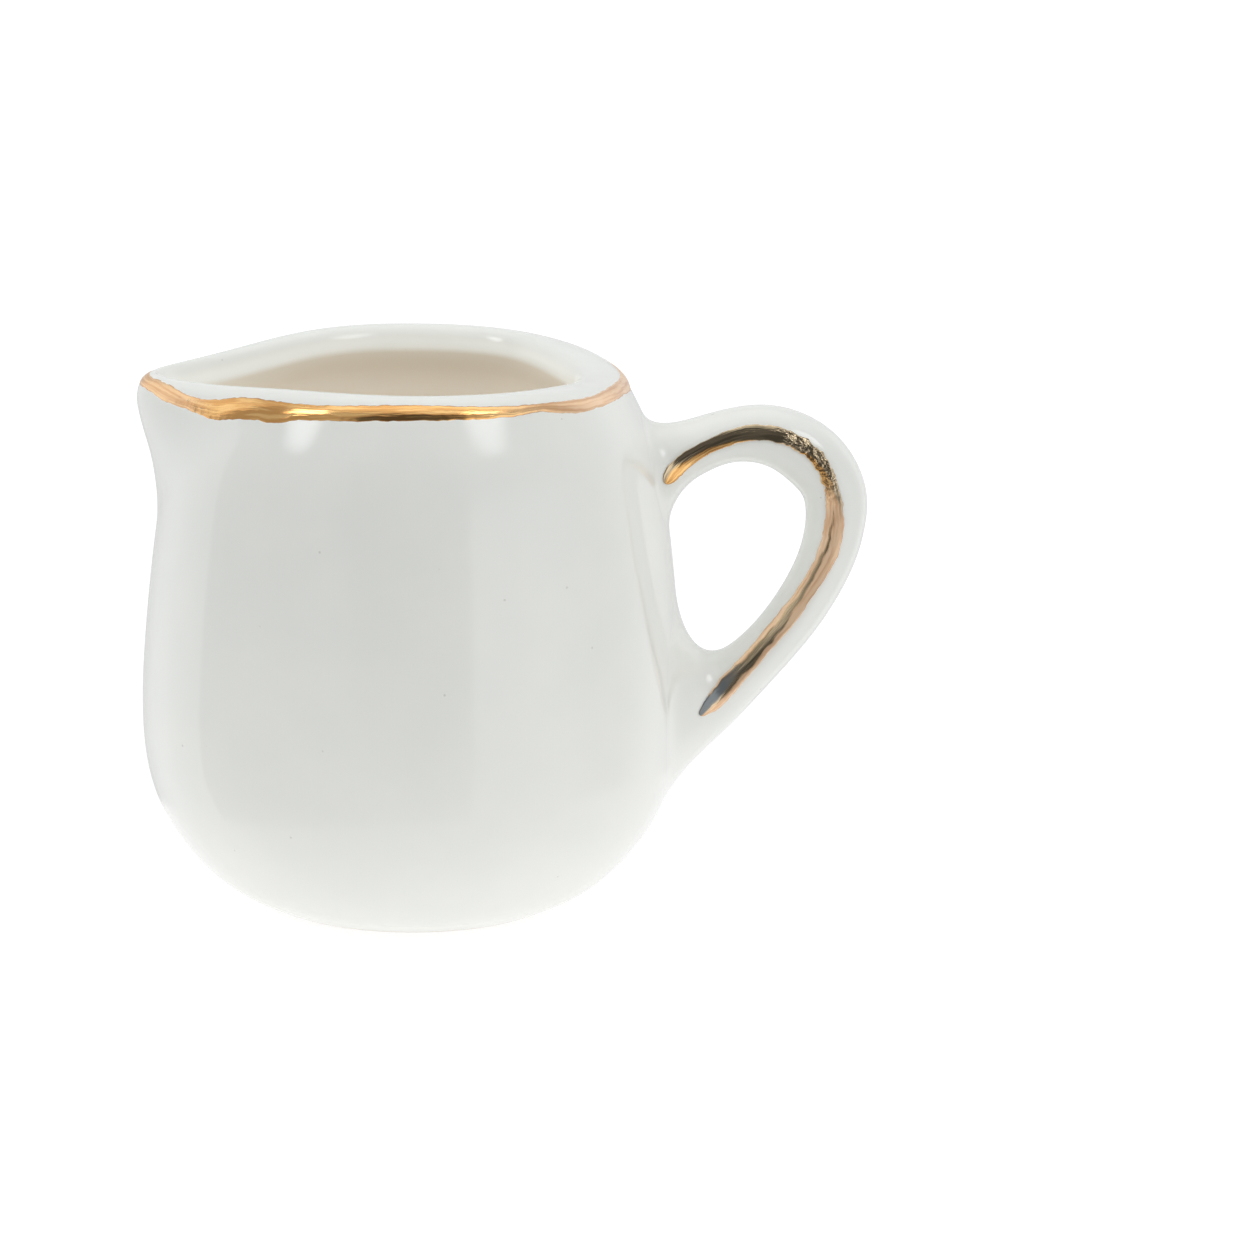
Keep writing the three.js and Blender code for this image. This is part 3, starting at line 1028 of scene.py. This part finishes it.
def noise(tree, place, scale, detail=3.0):
    """A cloudy value from 0 to 1. scale is about how many clouds there are in a metre."""
    node = tree.nodes.new("ShaderNodeTexNoise")
    node.inputs["Scale"].default_value = scale
    node.inputs["Detail"].default_value = detail
    tree.links.new(place, node.inputs["Vector"])
    return node.outputs["Fac"]


def mix_colour(tree, share, first, second):
    """A colour between two colours, each a socket or three numbers."""
    node = tree.nodes.new("ShaderNodeMix")
    node.data_type = "RGBA"
    tree.links.new(share, node.inputs[0])
    for socket, colour in ((node.inputs[6], first), (node.inputs[7], second)):
        if isinstance(colour, tuple):
            socket.default_value = (*colour, 1)
        else:
            tree.links.new(colour, socket)
    return node.outputs[2]


def marked(tree, name):
    """The value a mesh carries at each vertex under a name, or 0 where it has none."""
    node = tree.nodes.new("ShaderNodeAttribute")
    node.attribute_name = name
    return node.outputs["Fac"]


def specks(tree, place, scale, radius, share):
    """Small dots: one in the middle of a share of the cells, radius as a part of a cell."""
    cells = tree.nodes.new("ShaderNodeTexVoronoi")
    cells.inputs["Scale"].default_value = scale
    tree.links.new(place, cells.inputs["Vector"])
    split = tree.nodes.new("ShaderNodeSeparateColor")
    tree.links.new(cells.outputs["Color"], split.inputs[0])
    dot = ramp(tree, cells.outputs["Distance"], radius * 0.5, radius, 1.0, 0.0)
    chosen = maths(tree, "LESS_THAN", split.outputs[0], share)
    return maths(tree, "MULTIPLY", dot, chosen)


def bump(tree, height, metres, before=None):
    """Small relief, metres deep, on top of the relief that came before."""
    node = tree.nodes.new("ShaderNodeBump")
    node.inputs["Distance"].default_value = metres
    tree.links.new(height, node.inputs["Height"])
    if before is not None:
        tree.links.new(before, node.inputs["Normal"])
    return node.outputs[0]


def make_porcelain():
    """White glaze over cast clay: faintly cloudy and wavy, with pinholes, bare on the foot, and with
    painted light and shade inside.
    """
    material, tree, glaze = shader("glazed_porcelain")
    place = tree.nodes.new("ShaderNodeTexCoord").outputs["Object"]
    split = tree.nodes.new("ShaderNodeSeparateXYZ")
    tree.links.new(place, split.inputs[0])
    height = split.outputs[2]
    inside = marked(tree, "inside")
    bare = ramp(tree, height, *BARE_HEIGHT, 1.0, 0.0)
    pinholes = specks(tree, place, scale=330.0, radius=0.055, share=0.35)

    clouds = ramp(tree, noise(tree, place, scale=110.0), 0.3, 0.7)
    white = mix_colour(tree, clouds, GLAZE_COOL, GLAZE_WARM)
    # Painted light and shade on the inside: lighter and warmer deep down, darker just under the rim.
    painted_inside = mix_colour(tree, ramp(tree, height, *PAINTED_NECK_SHADE_HEIGHT), GLAZE_INSIDE_PAINTED_LIGHT, GLAZE_NECK_PAINTED_SHADE)
    with_painted_inside = mix_colour(tree, inside, white, painted_inside)
    dotted = mix_colour(tree, maths(tree, "MULTIPLY", pinholes, 0.35), with_painted_inside, PINHOLE)
    tree.links.new(mix_colour(tree, bare, dotted, BARE_CLAY), glaze.inputs["Base Color"])

    mottle = noise(tree, place, scale=420.0, detail=4.0)
    gloss = ramp(tree, mottle, 0.35, 0.7, 0.02, 0.05, smooth=False)
    tree.links.new(maths(tree, "MULTIPLY_ADD", bare, 0.6, gloss), glaze.inputs["Roughness"])
    glaze.inputs["IOR"].default_value = 1.52

    # Painted light: the inside and the glaze just under the rim glow, though they are no lamps.
    painted_light_by_height = ramp(tree, height, *INSIDE_PAINTED_LIGHT_HEIGHT, INSIDE_PAINTED_LIGHT, NECK_PAINTED_LIGHT)
    painted_inside_light = maths(tree, "MULTIPLY", inside, painted_light_by_height)
    light = maths(tree, "MULTIPLY_ADD", marked(tree, "glow"), RIM_PAINTED_LIGHT, painted_inside_light)
    tree.links.new(with_painted_inside, glaze.inputs["Emission Color"])
    tree.links.new(light, glaze.inputs["Emission Strength"])

    waved = bump(tree, noise(tree, place, scale=130.0, detail=2.0), 0.00005)
    pitted = bump(tree, maths(tree, "SUBTRACT", 1.0, pinholes), 0.00003, waved)
    clay = maths(tree, "MULTIPLY", noise(tree, place, scale=6000.0), bare)
    tree.links.new(bump(tree, clay, 0.00004, pitted), glaze.inputs["Normal"])
    return material


def make_gold(name, wrinkle, wrinkle_depth):
    """Brushed and fired gold: rosier and duller where it is thin, wrinkled where it pooled.

    wrinkle is the scale of the wrinkles' noise, and wrinkle_depth is in metres."""
    material, tree, metal = shader(name)
    place = tree.nodes.new("ShaderNodeTexCoord").outputs["Object"]
    thin = marked(tree, "thin")
    smoky = marked(tree, "smoky")
    pooled = marked(tree, "pooled")
    fine = noise(tree, place, scale=2600.0, detail=4.0)

    lanes = tree.nodes.new("ShaderNodeCombineXYZ")
    tree.links.new(maths(tree, "MULTIPLY", marked(tree, "along"), LANES_ALONG), lanes.inputs[0])
    tree.links.new(maths(tree, "MULTIPLY", marked(tree, "across"), LANES_ACROSS), lanes.inputs[1])
    streaks = noise(tree, lanes.outputs[0], scale=1.0)

    rich = mix_colour(tree, ramp(tree, streaks, 0.38, 0.58), GOLD, GOLD_DEEP)
    blush = mix_colour(tree, ramp(tree, streaks, 0.42, 0.66), GOLD_THIN, GOLD_BLUSH)
    olive = mix_colour(tree, ramp(tree, streaks, 0.4, 0.62), GOLD_DARK, GOLD_DARKEST)
    patchy = ramp(tree, noise(tree, place, scale=500.0), 0.3, 0.7, 0.75, 1.0, smooth=False)
    tint = mix_colour(tree, maths(tree, "MULTIPLY", thin, patchy), rich, blush)
    pits = specks(tree, place, scale=1500.0, radius=0.22, share=0.3)
    dark = maths(tree, "MAXIMUM", marked(tree, "dark"), maths(tree, "MULTIPLY", pits, pooled))
    dim = mix_colour(tree, dark, tint, olive)
    tree.links.new(mix_colour(tree, smoky, dim, GOLD_SMOKY), metal.inputs["Base Color"])

    weak = maths(tree, "MULTIPLY", maths(tree, "MAXIMUM", thin, smoky), 0.6)
    tree.links.new(maths(tree, "SUBTRACT", 1.0, weak), metal.inputs["Metallic"])
    dull = ramp(tree, fine, 0.3, 0.7, 0.09, 0.13, smooth=False)
    tree.links.new(maths(tree, "MULTIPLY_ADD", thin, 0.14, dull), metal.inputs["Roughness"])

    brushed = bump(tree, streaks, 0.00006, bump(tree, fine, 0.000003))
    crumpled = maths(tree, "MULTIPLY", noise(tree, place, wrinkle), pooled)
    tree.links.new(bump(tree, crumpled, wrinkle_depth, brushed), metal.inputs["Normal"])
    return material


porcelain = make_porcelain()
rim_gold = make_gold("rim_gold_film", wrinkle=600.0, wrinkle_depth=0.00008)
handle_gold = make_gold("handle_gold_film", wrinkle=1150.0, wrinkle_depth=0.00026)
for piece in (body, handle, upper_joint, lower_joint):
    piece.data.materials.append(porcelain)
rim_band.data.materials.append(rim_gold)
for piece in (near_stroke, far_stroke):
    piece.data.materials.append(handle_gold)
